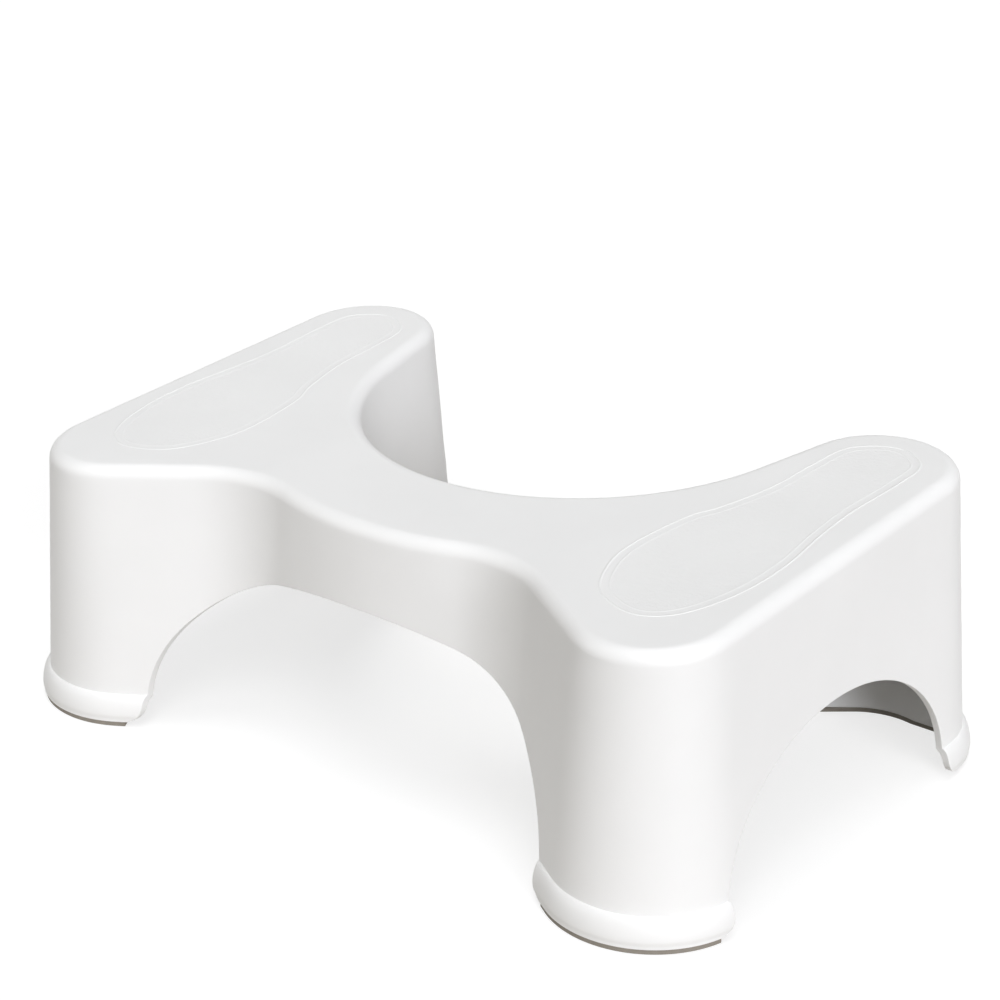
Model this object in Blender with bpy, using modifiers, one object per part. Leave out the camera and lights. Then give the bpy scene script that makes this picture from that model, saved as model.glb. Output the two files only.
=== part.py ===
"""Squatting footstool: one thin moulded shell standing on four anti-slip strips.

Metres, +Z up, the floor is z = 0. +X runs along the wide side. The deep round recess
faces +Y, the back. The deck is higher at the back than at the front.
"""

import math

import bmesh
import bpy
from mathutils import Matrix, Vector

# Deck outline, seen from above and measured on the drafted wall at DECK_HEIGHT
HALF_WIDTH = 0.2488
HALF_DEPTH = 0.1545
SIDE_TAPER = 0.0024
FRONT_CORNER_RADIUS = 0.0450
BACK_CORNER_RADIUS = 0.0484
VALLEY_RADIUS = 0.0780
VALLEY_SETBACK = 0.0478
VALLEY_STRAIGHT = 0.0126
CROWN_ANGLE = math.radians(17.2)
RECESS_DEPTH = 0.2009
RECESS_ANGLE = math.radians(69.6)

# Heights and the moulded wall
DECK_HEIGHT = 0.1760
DECK_SLOPE = math.radians(3.85)
DRAFT = math.radians(4.4)
WALL = 0.0044
EDGE_RADIUS = 0.0105

# Feet, from the deck's sides, front and back to the arches
FRONT_FOOT_WIDTH = 0.0943
BACK_FOOT_WIDTH = 0.1053
FRONT_FOOT_LENGTH = 0.0379
BACK_FOOT_LENGTH = 0.0551
FOOT_CORNER_RADIUS = 0.0100

# Rounded rim round each foot, and the ledge inside it that carries the strip
RIM_HEIGHT = 0.0170
RIM_PROUD = 0.0042
RIM_FULLNESS = 1.6
LEDGE_REACH = 0.0148
LEDGE_SETBACK = 0.0085
LEDGE_CHORD_DROP = 0.0010
BACK_LEDGE_SIDE_SETBACK = 0.0190

# Anti-slip strips
STRIP_THICKNESS = 0.0030
STRIP_INSET = 0.0008
SEAT_GAP = 0.0003

# Arches between the feet: how far each crown lies below DECK_HEIGHT, and how square each is
FRONT_APRON = 0.0592
BACK_APRON = 0.0600
SIDE_APRON = 0.0805
LONG_ARCH_FULLNESS = 2.12
SIDE_ARCH_FULLNESS = 2.0

# Stiffening ribs under the deck
RIB_PITCH = 0.0460
RIB_THICKNESS = 0.0022
RIB_DEPTH = 0.0120

# Raised sole outlines on the deck, and the margins round them
SOLE_WIDTH = 0.0833
SOLE_SIDE_MARGIN = 0.0200
SOLE_TOE_MARGIN = 0.0360
SOLE_HEEL_MARGIN = 0.0230
SOLE_RIDGE_RADIUS = 0.0009

# Length by which a cutting solid passes the surface that it cuts
OVERRUN = 0.0200

# Points nearer than this are one point
WELD_DISTANCE = 0.00001

# Steps along each arc of half the outline, in the arcs' order
CROWN_STEPS = 3
VALLEY_STEPS = 6
FRONT_CORNER_STEPS = 9
BACK_CORNER_STEPS = 12
RECESS_STEPS = 14
EDGE_STEPS = 4
ARCH_STEPS = 32
FOOT_CORNER_STEPS = 4

# Heights on the rim, as shares of its height above the seat
RIM_FOOT_SHARE = 0.13
RIM_WIDEST_SHARE = 0.28
RIM_HEIGHT_SHARES = (0.28, 0.45, 0.62, 0.77, 0.89, 0.97, 1.0)

# Sole outline, toe first, as (across, along) shares of its width and length
SOLE_OUTLINE_SHARES = (
    (0.57, 0.0), (0.82, 0.054), (0.97, 0.194), (1.0, 0.354), (0.95, 0.514), (0.93, 0.654),
    (0.96, 0.834), (0.93, 0.946), (0.66, 1.0), (0.37, 0.942), (0.305, 0.814), (0.275, 0.666),
    (0.165, 0.516), (0.065, 0.434), (0.0, 0.266), (0.05, 0.15), (0.235, 0.042),
)

SHELL_COLOUR = (0.86, 0.86, 0.85, 1.0)
STRIP_COLOUR = (0.27, 0.26, 0.23, 1.0)

SEAT_HEIGHT = STRIP_THICKNESS + SEAT_GAP
RIM_TOP = SEAT_HEIGHT + RIM_HEIGHT
FRONT_ARCH_HALF_SPAN = HALF_WIDTH - FRONT_FOOT_WIDTH
BACK_ARCH_HALF_SPAN = HALF_WIDTH - BACK_FOOT_WIDTH
SIDE_ARCH_HALF_SPAN = HALF_DEPTH - (FRONT_FOOT_LENGTH + BACK_FOOT_LENGTH) / 2
SIDE_ARCH_MIDDLE = (FRONT_FOOT_LENGTH - BACK_FOOT_LENGTH) / 2
SOLE_INNER_X = HALF_WIDTH - SOLE_SIDE_MARGIN - SOLE_WIDTH
SOLE_TOE_Y = SOLE_TOE_MARGIN - HALF_DEPTH
SOLE_HEEL_Y = HALF_DEPTH - SOLE_HEEL_MARGIN


def clear_scene():
    for old in list(bpy.data.objects):
        bpy.data.objects.remove(old, do_unlink=True)


def new_collection(name):
    collection = bpy.data.collections.new(name)
    bpy.context.scene.collection.children.link(collection)
    return collection


def new_material(name, colour, roughness):
    material = bpy.data.materials.new(name)
    material.use_nodes = True
    shader = material.node_tree.nodes["Principled BSDF"]
    shader.inputs["Base Color"].default_value = colour
    shader.inputs["Roughness"].default_value = roughness
    shader.inputs["Metallic"].default_value = 0.0
    return material


def new_object(name, data, collection):
    placed = bpy.data.objects.new(name, data)
    collection.objects.link(placed)
    return placed


def hide_cutter(cutter):
    cutter.hide_render = True
    cutter.display_type = "WIRE"
    return cutter


def add_boolean(target, operation, tool):
    boolean = target.modifiers.new(f"{operation.lower()} {tool.name}", "BOOLEAN")
    boolean.operation = operation
    boolean.solver = "EXACT"
    boolean.object = tool


def mirror_halves(target):
    mirror = target.modifiers.new("both halves", "MIRROR")
    mirror.use_axis = (True, False, False)
    mirror.merge_threshold = WELD_DISTANCE


# Outline of the deck


def heading_normal(heading):
    """Outward normal of an outline that runs at this heading, anticlockwise from above."""
    return Vector((math.sin(heading), -math.cos(heading)))


def tangent_heading(centre, radius, next_centre, next_radius):
    """Heading of the straight line tangent to two arcs. A hollow arc's radius is negative."""
    step = next_centre - centre
    turn = math.asin((next_radius - radius) / step.length)
    return math.atan2(step.y, step.x) - turn


def deck_arcs():
    """Arcs of the right half, from the front's middle to the recess's middle."""
    front_corner = Vector((
        HALF_WIDTH - SIDE_TAPER - FRONT_CORNER_RADIUS,
        FRONT_CORNER_RADIUS - HALF_DEPTH,
    ))
    back_corner = Vector((HALF_WIDTH - BACK_CORNER_RADIUS, HALF_DEPTH - BACK_CORNER_RADIUS))

    # The valley stands one short straight away from the front corner
    valley_y = VALLEY_SETBACK - HALF_DEPTH - VALLEY_RADIUS
    reach = FRONT_CORNER_RADIUS + VALLEY_RADIUS + VALLEY_STRAIGHT
    rise = front_corner.y - valley_y
    valley = Vector((front_corner.x - math.sqrt(reach**2 - rise**2), valley_y))

    # The crown meets the valley at CROWN_ANGLE
    span = valley.x / math.sin(CROWN_ANGLE)
    crown = Vector((0.0, valley.y + span * math.cos(CROWN_ANGLE)))

    # The recess touches its own middle and the line that leaves the back corner
    leave = math.pi + RECESS_ANGLE
    line = heading_normal(leave).dot(back_corner) + BACK_CORNER_RADIUS
    lean = math.cos(RECESS_ANGLE)
    recess_middle = HALF_DEPTH - RECESS_DEPTH
    recess_radius = (lean * recess_middle - line) / (1.0 - lean)
    recess = Vector((0.0, recess_middle + recess_radius))

    enter = tangent_heading(valley, -VALLEY_RADIUS, front_corner, FRONT_CORNER_RADIUS)
    side = tangent_heading(front_corner, FRONT_CORNER_RADIUS, back_corner, BACK_CORNER_RADIUS)
    return (
        (crown, span - VALLEY_RADIUS, 0.0, CROWN_ANGLE, CROWN_STEPS),
        (valley, -VALLEY_RADIUS, CROWN_ANGLE, enter, VALLEY_STEPS),
        (front_corner, FRONT_CORNER_RADIUS, enter, side, FRONT_CORNER_STEPS),
        (back_corner, BACK_CORNER_RADIUS, side, leave, BACK_CORNER_STEPS),
        (recess, -recess_radius, leave, math.pi, RECESS_STEPS),
    )


def half_outline():
    """Points of the right half with their outward normals, front middle to recess middle."""
    outline = []
    for centre, radius, start, end, steps in deck_arcs():
        for step in range(steps + 1):
            heading = start + (end - start) * step / steps
            normal = heading_normal(heading)
            point = centre + radius * normal
            if not outline or (point - outline[-1][0]).length > WELD_DISTANCE:
                outline.append((point, normal))
    for point, normal in (outline[0], outline[-1]):
        point.x = 0.0
        normal.x = 0.0
    return outline


def mirrored(outline):
    flip = Matrix(((-1.0, 0.0), (0.0, 1.0)))
    return [(flip @ point, flip @ normal) for point, normal in reversed(outline)]


# Sections that the wall passes through


def deck_top(y):
    return DECK_HEIGHT + y * math.tan(DECK_SLOPE)


def wall_offset(z):
    """How far the drafted wall lies outside the deck outline at a height."""
    return (DECK_HEIGHT - z) * math.tan(DRAFT)


def level_ring(outline, offset, z):
    return [(*(point + normal * offset), z) for point, normal in outline]


def edge_ring(outline, angle, inset):
    """Ring on the rounded deck edge, at an angle above level and a depth below the skin."""
    ring = []
    for point, normal in outline:
        y = point.y
        for _ in range(5):
            centre_z = deck_top(y) - EDGE_RADIUS
            offset = wall_offset(centre_z) - EDGE_RADIUS / math.cos(DRAFT)
            y = point.y + normal.y * offset
        radius = EDGE_RADIUS - inset
        place = point + normal * (offset + radius * math.cos(angle))
        ring.append((*place, centre_z + radius * math.sin(angle)))
    return ring


def edge_rings(outline, inset):
    rings = []
    for step in range(EDGE_STEPS + 1):
        angle = DRAFT + (math.pi / 2 - DRAFT) * step / EDGE_STEPS
        rings.append(edge_ring(outline, angle, inset))
    return rings


def rim_offset(share):
    """Outside of the foot rim, at a share of its height above the seat."""
    z = SEAT_HEIGHT + RIM_HEIGHT * share
    room = RIM_WIDEST_SHARE if share < RIM_WIDEST_SHARE else 1.0 - RIM_WIDEST_SHARE
    away = abs(share - RIM_WIDEST_SHARE) / room
    return wall_offset(z) + RIM_PROUD * (1.0 - away**RIM_FULLNESS) ** (1.0 / RIM_FULLNESS)


def rim_rings(outline):
    """The rim stands upright at its foot, swells and steps back to the wall at its top."""
    foot = rim_offset(RIM_FOOT_SHARE)
    rings = [
        level_ring(outline, foot, SEAT_HEIGHT),
        level_ring(outline, foot, SEAT_HEIGHT + RIM_HEIGHT * RIM_FOOT_SHARE),
    ]
    for share in RIM_HEIGHT_SHARES:
        rings.append(level_ring(outline, rim_offset(share), SEAT_HEIGHT + RIM_HEIGHT * share))
    return rings


# Meshes


def to_mesh(name, shape):
    mesh = bpy.data.meshes.new(name)
    shape.to_mesh(mesh)
    shape.free()
    return mesh


def half_loft(name, rings, cap_first):
    """Skins the rings of the right half, open at x = 0, and caps the last one."""
    shape = bmesh.new()
    rows = [[shape.verts.new(place) for place in ring] for ring in rings]
    for lower, upper in zip(rows, rows[1:]):
        for i in range(len(lower) - 1):
            shape.faces.new((lower[i], lower[i + 1], upper[i + 1], upper[i]))
    if cap_first:
        shape.faces.new(reversed(rows[0]))
    shape.faces.new(rows[-1])
    return to_mesh(name, shape)


def extrusion(name, profile, sweep):
    """Flat profile drawn out into a solid."""
    shape = bmesh.new()
    face = shape.faces.new([shape.verts.new(place) for place in profile])
    drawn = bmesh.ops.extrude_face_region(shape, geom=[face])["geom"]
    moved = [item for item in drawn if isinstance(item, bmesh.types.BMVert)]
    bmesh.ops.translate(shape, vec=sweep, verts=moved)
    bmesh.ops.recalc_face_normals(shape, faces=shape.faces)
    return to_mesh(name, shape)


def box_mesh(name, low, high):
    shape = bmesh.new()
    size = Vector(high) - Vector(low)
    middle = (Vector(high) + Vector(low)) / 2
    bmesh.ops.create_cube(shape, size=1.0, matrix=Matrix.LocRotScale(middle, None, size))
    return to_mesh(name, shape)


def band_mesh(name, outline, outer, inner, low, thickness):
    """Flat band that follows the outline between two offsets."""
    profile = level_ring(outline, outer, low) + level_ring(reversed(outline), inner, low)
    return extrusion(name, profile, (0.0, 0.0, thickness))


def arch_profile(half_span, apron, fullness):
    """Arch with upright springings, and foot corners rounded off below them."""
    height = DECK_HEIGHT - apron
    spring = SEAT_HEIGHT + FOOT_CORNER_RADIUS
    side = [(half_span + FOOT_CORNER_RADIUS, -OVERRUN)]
    for step in range(FOOT_CORNER_STEPS):
        turn = math.pi / 2 * step / FOOT_CORNER_STEPS
        side.append((
            half_span + FOOT_CORNER_RADIUS * (1.0 - math.sin(turn)),
            spring - FOOT_CORNER_RADIUS * math.cos(turn),
        ))
    arch = []
    for step in range(ARCH_STEPS + 1):
        turn = math.pi * step / ARCH_STEPS
        across = abs(math.cos(turn)) ** (2.0 / fullness)
        up = abs(math.sin(turn)) ** (2.0 / fullness)
        arch.append((
            math.copysign(half_span * across, math.cos(turn)),
            spring + (height - spring) * up,
        ))
    return side + arch + [(-across, z) for across, z in reversed(side)]


def half_deep():
    """Depth that clears the stool's front and back from its middle."""
    return HALF_DEPTH + wall_offset(0.0) + RIM_PROUD + OVERRUN


def half_wide():
    return HALF_WIDTH + wall_offset(0.0) + RIM_PROUD + OVERRUN


def bridge_middle():
    """Line inside the bridge that parts the front arch from the back arch."""
    arcs = deck_arcs()
    crown_front = arcs[0][0].y - arcs[0][1]
    return (crown_front + HALF_DEPTH - RECESS_DEPTH) / 2


def wing_middle():
    """Line inside a wing, under the sole, that a side arch stops at."""
    return SOLE_INNER_X + SOLE_WIDTH / 2


def long_arch(name, half_span, apron, start, end):
    profile = arch_profile(half_span, apron, LONG_ARCH_FULLNESS)
    return extrusion(name, [(x, start, z) for x, z in profile], (0.0, end - start, 0.0))


def side_arch(name, side):
    profile = arch_profile(SIDE_ARCH_HALF_SPAN, SIDE_APRON, SIDE_ARCH_FULLNESS)
    start = side * wing_middle()
    places = [(start, y + SIDE_ARCH_MIDDLE, z) for y, z in profile]
    return extrusion(name, places, (side * half_wide() - start, 0.0, 0.0))


def foot_zone(name, side, end, extra):
    """Upright prism that bounds one foot's ledge. The end is -1 in front and 1 behind."""
    half_span = FRONT_ARCH_HALF_SPAN if end < 0 else BACK_ARCH_HALF_SPAN
    near_x = half_span + LEDGE_SETBACK + extra
    near_y = SIDE_ARCH_HALF_SPAN + LEDGE_SETBACK + extra + end * SIDE_ARCH_MIDDLE
    far_x = half_wide()
    plan = [(near_x, half_deep()), (near_x, near_y)]
    if end > 0:
        # A back ledge stops short of the side, and its inner edge ends in a straight
        corner_x = HALF_WIDTH - BACK_CORNER_RADIUS
        chord_y = HALF_DEPTH + ledge_inner() - LEDGE_CHORD_DROP + extra
        far_x = HALF_WIDTH - BACK_LEDGE_SIDE_SETBACK - extra
        plan += [(corner_x, near_y), (corner_x, chord_y), (far_x, chord_y)]
    else:
        plan.append((far_x, near_y))
    plan.append((far_x, half_deep()))
    places = [(side * x, end * y, -OVERRUN) for x, y in plan]
    return extrusion(name, places, (0.0, 0.0, OVERRUN + RIM_TOP))


def rib_slab(name, outline):
    """Solid from the ribs' lower edges to inside the deck, reaching halfway into the wall."""
    inset = WALL / 2
    foot = [
        (*place[:2], deck_top(place[1]) - WALL - RIB_DEPTH)
        for place in edge_ring(outline, DRAFT, inset)
    ]
    return half_loft(name, [foot] + edge_rings(outline, inset), cap_first=True)


def rib_pockets(cutters):
    """Grid of boxes, one for each pocket between the ribs."""
    across = 2 * math.ceil(half_wide() / RIB_PITCH) + 1
    along = 2 * math.ceil(half_deep() / RIB_PITCH) + 1
    pocket = (RIB_PITCH - RIB_THICKNESS) / 2
    low = deck_top(-half_deep()) - WALL - RIB_DEPTH
    high = deck_top(half_deep())
    mesh = box_mesh("rib pockets", (-pocket, -pocket, low), (pocket, pocket, high))
    pockets = hide_cutter(new_object("rib pockets", mesh, cutters))
    pockets.location = (-(across - 1) / 2 * RIB_PITCH, -(along - 1) / 2 * RIB_PITCH, 0.0)
    for count, direction in ((across, (1.0, 0.0, 0.0)), (along, (0.0, 1.0, 0.0))):
        array = pockets.modifiers.new("repeat", "ARRAY")
        array.count = count
        array.use_relative_offset = False
        array.use_constant_offset = True
        array.constant_offset_displace = Vector(direction) * RIB_PITCH
        array.use_merge_vertices = False
    return pockets


def sole_ridge(name, side, cutters):
    """Half-sunk round bead along one sole outline, on the sloping deck."""
    curve = bpy.data.curves.new(name, "CURVE")
    curve.dimensions = "3D"
    curve.bevel_depth = SOLE_RIDGE_RADIUS
    curve.bevel_resolution = 1
    curve.resolution_u = 4
    spline = curve.splines.new("BEZIER")
    spline.bezier_points.add(len(SOLE_OUTLINE_SHARES) - 1)
    spline.use_cyclic_u = True
    for control, (across, along) in zip(spline.bezier_points, SOLE_OUTLINE_SHARES):
        x = SOLE_INNER_X + SOLE_WIDTH * across
        y = SOLE_TOE_Y + (SOLE_HEEL_Y - SOLE_TOE_Y) * along
        control.co = (side * x, y, deck_top(y))
        control.handle_left_type = "AUTO"
        control.handle_right_type = "AUTO"
    drawn = new_object(name + " curve", curve, cutters)
    bpy.context.view_layer.update()
    evaluated = drawn.evaluated_get(bpy.context.evaluated_depsgraph_get())
    mesh = bpy.data.meshes.new_from_object(evaluated)
    bpy.data.objects.remove(drawn, do_unlink=True)
    mesh.name = name
    return hide_cutter(new_object(name, mesh, cutters))


# Pieces

FEET = (
    ("front_right", 1, -1),
    ("front_left", -1, -1),
    ("back_right", 1, 1),
    ("back_left", -1, 1),
)


def ledge_inner():
    """Inner edge of the foot ledge, as an offset from the deck outline."""
    return wall_offset(SEAT_HEIGHT) - WALL - LEDGE_REACH


def side_outline(outline, side):
    return outline if side > 0 else mirrored(outline)


def finish(piece, material):
    """Smooth shading that leaves the flat faces flat."""
    piece.data.materials.append(material)
    piece.data.shade_smooth()
    piece.data.set_sharp_from_angle(angle=math.radians(30.0))
    weighted = piece.modifiers.new("flat faces stay flat", "WEIGHTED_NORMAL")
    weighted.keep_sharp = True


def build_shell(outline, parts, cutters, material):
    """Drafted skin, made WALL thick, with its ribs, ledges, arches and sole ridges."""
    rings = rim_rings(outline) + edge_rings(outline, 0.0)
    skin = half_loft("moulded_shell", rings, cap_first=False)
    shell = new_object("moulded_shell", skin, parts)
    mirror_halves(shell)
    solidify = shell.modifiers.new("wall", "SOLIDIFY")
    solidify.thickness = WALL
    solidify.offset = -1.0
    solidify.use_even_offset = True
    solidify.use_quality_normals = True

    ribs = hide_cutter(new_object("deck ribs", rib_slab("deck ribs", outline), cutters))
    mirror_halves(ribs)
    add_boolean(ribs, "DIFFERENCE", rib_pockets(cutters))
    add_boolean(shell, "UNION", ribs)

    for foot, side, end in FEET:
        name = f"ledge {foot}"
        mid_wall = rim_offset(RIM_FOOT_SHARE) - WALL / 2
        band = side_outline(outline, side)
        mesh = band_mesh(name, band, mid_wall, ledge_inner(), SEAT_HEIGHT, WALL)
        ledge = hide_cutter(new_object(name, mesh, cutters))
        zone = foot_zone(f"zone {foot}", side, end, 0.0)
        add_boolean(ledge, "INTERSECT", hide_cutter(new_object(zone.name, zone, cutters)))
        add_boolean(shell, "UNION", ledge)

    arches = (
        long_arch("front arch", FRONT_ARCH_HALF_SPAN, FRONT_APRON, -half_deep(), bridge_middle()),
        long_arch("back arch", BACK_ARCH_HALF_SPAN, BACK_APRON, bridge_middle(), half_deep()),
        side_arch("right arch", 1),
        side_arch("left arch", -1),
    )
    for mesh in arches:
        add_boolean(shell, "DIFFERENCE", hide_cutter(new_object(mesh.name, mesh, cutters)))

    for name, side in (("right sole", 1), ("left sole", -1)):
        add_boolean(shell, "UNION", sole_ridge(name, side, cutters))
    finish(shell, material)
    return shell


def build_strip(foot, side, end, outline, parts, cutters, material):
    """Flat strip under one foot, SEAT_GAP below its seat and inside the seat's edges."""
    name = f"foot_strip_{foot}"
    outer = rim_offset(RIM_FOOT_SHARE) - STRIP_INSET
    inner = ledge_inner() + STRIP_INSET
    mesh = band_mesh(name, side_outline(outline, side), outer, inner, 0.0, STRIP_THICKNESS)
    strip = new_object(name, mesh, parts)
    zone = foot_zone(f"strip zone {foot}", side, end, STRIP_INSET)
    add_boolean(strip, "INTERSECT", hide_cutter(new_object(zone.name, zone, cutters)))
    finish(strip, material)
    return strip


def main():
    clear_scene()
    parts = new_collection("toilet_footstool")
    cutters = new_collection("cutters")
    outline = half_outline()
    plastic = new_material("moulded_plastic", SHELL_COLOUR, 0.38)
    rubber = new_material("strip_rubber", STRIP_COLOUR, 0.75)
    shell = build_shell(outline, parts, cutters, plastic)
    for foot, side, end in FEET:
        strip = build_strip(foot, side, end, outline, parts, cutters, rubber)
        strip.parent = shell


main()
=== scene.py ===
# %% [markdown]
# # A moulded footstool
#
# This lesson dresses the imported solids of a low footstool: one white shell, injection moulded
# in polypropylene, standing on four rubber strips. The frame says where each solid is, so the
# scene only adds finer meshes, finishes, a floor, light and a camera.

# %% Load the frame
import math

import bmesh
import bpy
import numpy as np
from mathutils import Matrix, Vector
from mathutils.geometry import delaunay_2d_cdt


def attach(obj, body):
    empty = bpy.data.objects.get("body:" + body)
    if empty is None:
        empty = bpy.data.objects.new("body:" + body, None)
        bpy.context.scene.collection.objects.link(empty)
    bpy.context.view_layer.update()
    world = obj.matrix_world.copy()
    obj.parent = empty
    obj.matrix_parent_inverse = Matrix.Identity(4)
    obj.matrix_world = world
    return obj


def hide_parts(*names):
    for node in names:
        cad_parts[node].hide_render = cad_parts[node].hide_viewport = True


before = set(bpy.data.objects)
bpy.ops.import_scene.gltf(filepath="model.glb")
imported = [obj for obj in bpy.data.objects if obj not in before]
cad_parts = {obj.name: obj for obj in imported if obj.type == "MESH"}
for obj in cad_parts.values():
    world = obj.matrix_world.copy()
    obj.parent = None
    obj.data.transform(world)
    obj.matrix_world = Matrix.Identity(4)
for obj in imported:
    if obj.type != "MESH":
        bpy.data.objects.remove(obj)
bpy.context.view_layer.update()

# %% [markdown]
# ## The deck's outline
#
# Seen from above the deck is a bow tie: two wings for the feet, a hollow front edge between
# them and a deep round recess behind. A mould maker draws such an outline as arcs joined by
# tangent lines, so it is drawn that way here, as one half that is mirrored later. A run is
# one arc or line, kept as its start, its heading and how fast it bends, so any point can be
# asked for by its distance along the edge.

# %% The outline's measures, in metres
HALF_WIDTH = 0.2488
HALF_DEPTH = 0.1545
SIDE_TAPER = 0.0024
FRONT_CORNER_RADIUS = 0.0450
BACK_CORNER_RADIUS = 0.0477
VALLEY_RADIUS = 0.0780
VALLEY_SETBACK = 0.0478
VALLEY_STRAIGHT = 0.0126
CROWN_ANGLE = math.radians(17.2)
RECESS_DEPTH = 0.1992
RECESS_ANGLE = math.radians(76.5)

# Microns in a metre: points less than a micron apart count as one
MICRONS = 1e6


def facing(heading):
    """Outward normal of an edge that runs at this heading, anticlockwise from above."""
    return Vector((math.sin(heading), -math.cos(heading)))


def tangent_heading(centre, radius, next_centre, next_radius):
    """Heading of the line that touches two arcs one after the other."""
    step = next_centre - centre
    turn = math.asin((next_radius - radius) / step.length)
    return math.atan2(step.y, step.x) - turn


# %% Arcs of the right half, front middle to recess middle
def deck_arcs():
    """Arcs as (centre, radius, first heading, last heading); a hollow one's radius is negative."""
    front = Vector((HALF_WIDTH - SIDE_TAPER - FRONT_CORNER_RADIUS,
                    FRONT_CORNER_RADIUS - HALF_DEPTH))
    back = Vector((HALF_WIDTH - BACK_CORNER_RADIUS, HALF_DEPTH - BACK_CORNER_RADIUS))
    valley_y = VALLEY_SETBACK - HALF_DEPTH - VALLEY_RADIUS
    reach = FRONT_CORNER_RADIUS + VALLEY_RADIUS + VALLEY_STRAIGHT
    rise = front.y - valley_y
    valley = Vector((front.x - math.sqrt(reach**2 - rise**2), valley_y))
    span = valley.x / math.sin(CROWN_ANGLE)
    crown = Vector((0.0, valley.y + span * math.cos(CROWN_ANGLE)))
    leave = math.pi + RECESS_ANGLE
    line = facing(leave).dot(back) + BACK_CORNER_RADIUS
    lean = math.cos(RECESS_ANGLE)
    recess_radius = (lean * (HALF_DEPTH - RECESS_DEPTH) - line) / (1.0 - lean)
    recess = Vector((0.0, HALF_DEPTH - RECESS_DEPTH + recess_radius))
    enter = tangent_heading(valley, -VALLEY_RADIUS, front, FRONT_CORNER_RADIUS)
    side = tangent_heading(front, FRONT_CORNER_RADIUS, back, BACK_CORNER_RADIUS)
    return (
        (crown, span - VALLEY_RADIUS, 0.0, CROWN_ANGLE),
        (valley, -VALLEY_RADIUS, CROWN_ANGLE, enter),
        (front, FRONT_CORNER_RADIUS, enter, side),
        (back, BACK_CORNER_RADIUS, side, leave),
        (recess, -recess_radius, leave, math.pi),
    )


def edge_runs():
    """Arcs and the lines between them, as (start along the edge, point, heading, bend)."""
    runs = []
    along = 0.0
    end = None
    for centre, radius, turn_in, turn_out in deck_arcs():
        start = centre + radius * facing(turn_in)
        if end is not None and (start - end).length > 1 / MICRONS:
            runs.append((along, end, turn_in, 0.0))
            along += (start - end).length
        runs.append((along, start, turn_in, 1.0 / radius))
        along += radius * (turn_out - turn_in)
        end = centre + radius * facing(turn_out)
    return runs, along


EDGE_RUNS, EDGE_LENGTH = edge_runs()
print(f"half of the edge has {len(EDGE_RUNS)} runs and measures {EDGE_LENGTH * 1000:.1f} mm")


def edge_spot(along):
    """Point and outward normal of the right half's edge."""
    start, point, heading, bend = next(run for run in reversed(EDGE_RUNS)
                                       if along >= run[0] or run is EDGE_RUNS[0])
    step = along - start
    turned = heading + bend * step
    if bend:
        move = Vector((math.sin(turned) - math.sin(heading),
                       math.cos(heading) - math.cos(turned))) / bend
    else:
        move = Vector((math.cos(heading), math.sin(heading))) * step
    return point + move, facing(turned)


# %% [markdown]
# ## The drafted wall, the foot rim and the rounded deck edge
#
# A moulded wall leans outwards on its way down, so that the part leaves the mould: that lean
# is the draft. Each foot swells into a rounded rim that meets the wall in a crisp crease. At
# the top a fillet joins the wall to the deck, which slopes up towards the back. Each of these
# is only a rule that gives the skin's distance outside the deck's edge at a height, and the
# inner skin follows one wall thickness behind.

# %% Heights and wall
DECK_HEIGHT = 0.1758
DECK_SLOPE = math.radians(3.85)
DRAFT = math.radians(4.15)
WALL = 0.0044
FILLET_RADIUS = 0.0088
STRIP_THICKNESS = 0.0030
SEAT_HEIGHT = 0.0033
RIM_HEIGHT = 0.0170
RIM_TOP = SEAT_HEIGHT + RIM_HEIGHT
RIM_PROUD = 0.0046
RIM_FULLNESS = 2.0
RIM_UPRIGHT_SHARE = 0.13
RIM_WIDEST_SHARE = 0.28


def deck_top(y):
    """Height of the sloping deck, this far behind the stool's middle."""
    return DECK_HEIGHT + y * math.tan(DECK_SLOPE)


def wall_offset(z):
    """How far the drafted wall stands outside the deck's edge at a height."""
    return (DECK_HEIGHT - z) * math.tan(DRAFT)


def rim_swell(share):
    """How far the rim stands outside the wall, as a share of its fullest swell."""
    share = min(max(share, RIM_UPRIGHT_SHARE), 1.0)
    room = RIM_WIDEST_SHARE if share < RIM_WIDEST_SHARE else 1.0 - RIM_WIDEST_SHARE
    away = abs(share - RIM_WIDEST_SHARE) / room
    return (1.0 - away**RIM_FULLNESS) ** (1.0 / RIM_FULLNESS)


def skin_offset(z, depth):
    """Distance of a skin from the deck's edge: depth 0 is the outside, WALL the inside."""
    if z >= RIM_TOP:
        return wall_offset(z) - depth / math.cos(DRAFT)
    upright = SEAT_HEIGHT + RIM_HEIGHT * RIM_UPRIGHT_SHARE
    height = RIM_HEIGHT - depth / 2
    swell = RIM_PROUD * rim_swell((z - SEAT_HEIGHT) / height)
    return wall_offset(max(z, upright)) - depth / math.cos(DRAFT) + swell


def skin_place(along, z, depth):
    """Point of a skin at this height, beside this place along the deck's edge."""
    point, normal = edge_spot(along)
    return Vector((*(point + normal * skin_offset(z, depth)), z))


# %% The fillet between wall and deck
def fillet(along):
    """Centre of the fillet, as (offset, height), and the angle where it meets the deck."""
    point, normal = edge_spot(along)
    rise = math.atan(normal.y * math.tan(DECK_SLOPE))
    sides = np.array(((math.cos(DRAFT), math.sin(DRAFT)), (-math.sin(rise), math.cos(rise))))
    reach = np.array((DECK_HEIGHT * math.sin(DRAFT) - FILLET_RADIUS,
                      deck_top(point.y) * math.cos(rise) - FILLET_RADIUS))
    offset, height = np.linalg.solve(sides, reach)
    return offset, height, math.pi / 2 + rise


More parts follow.
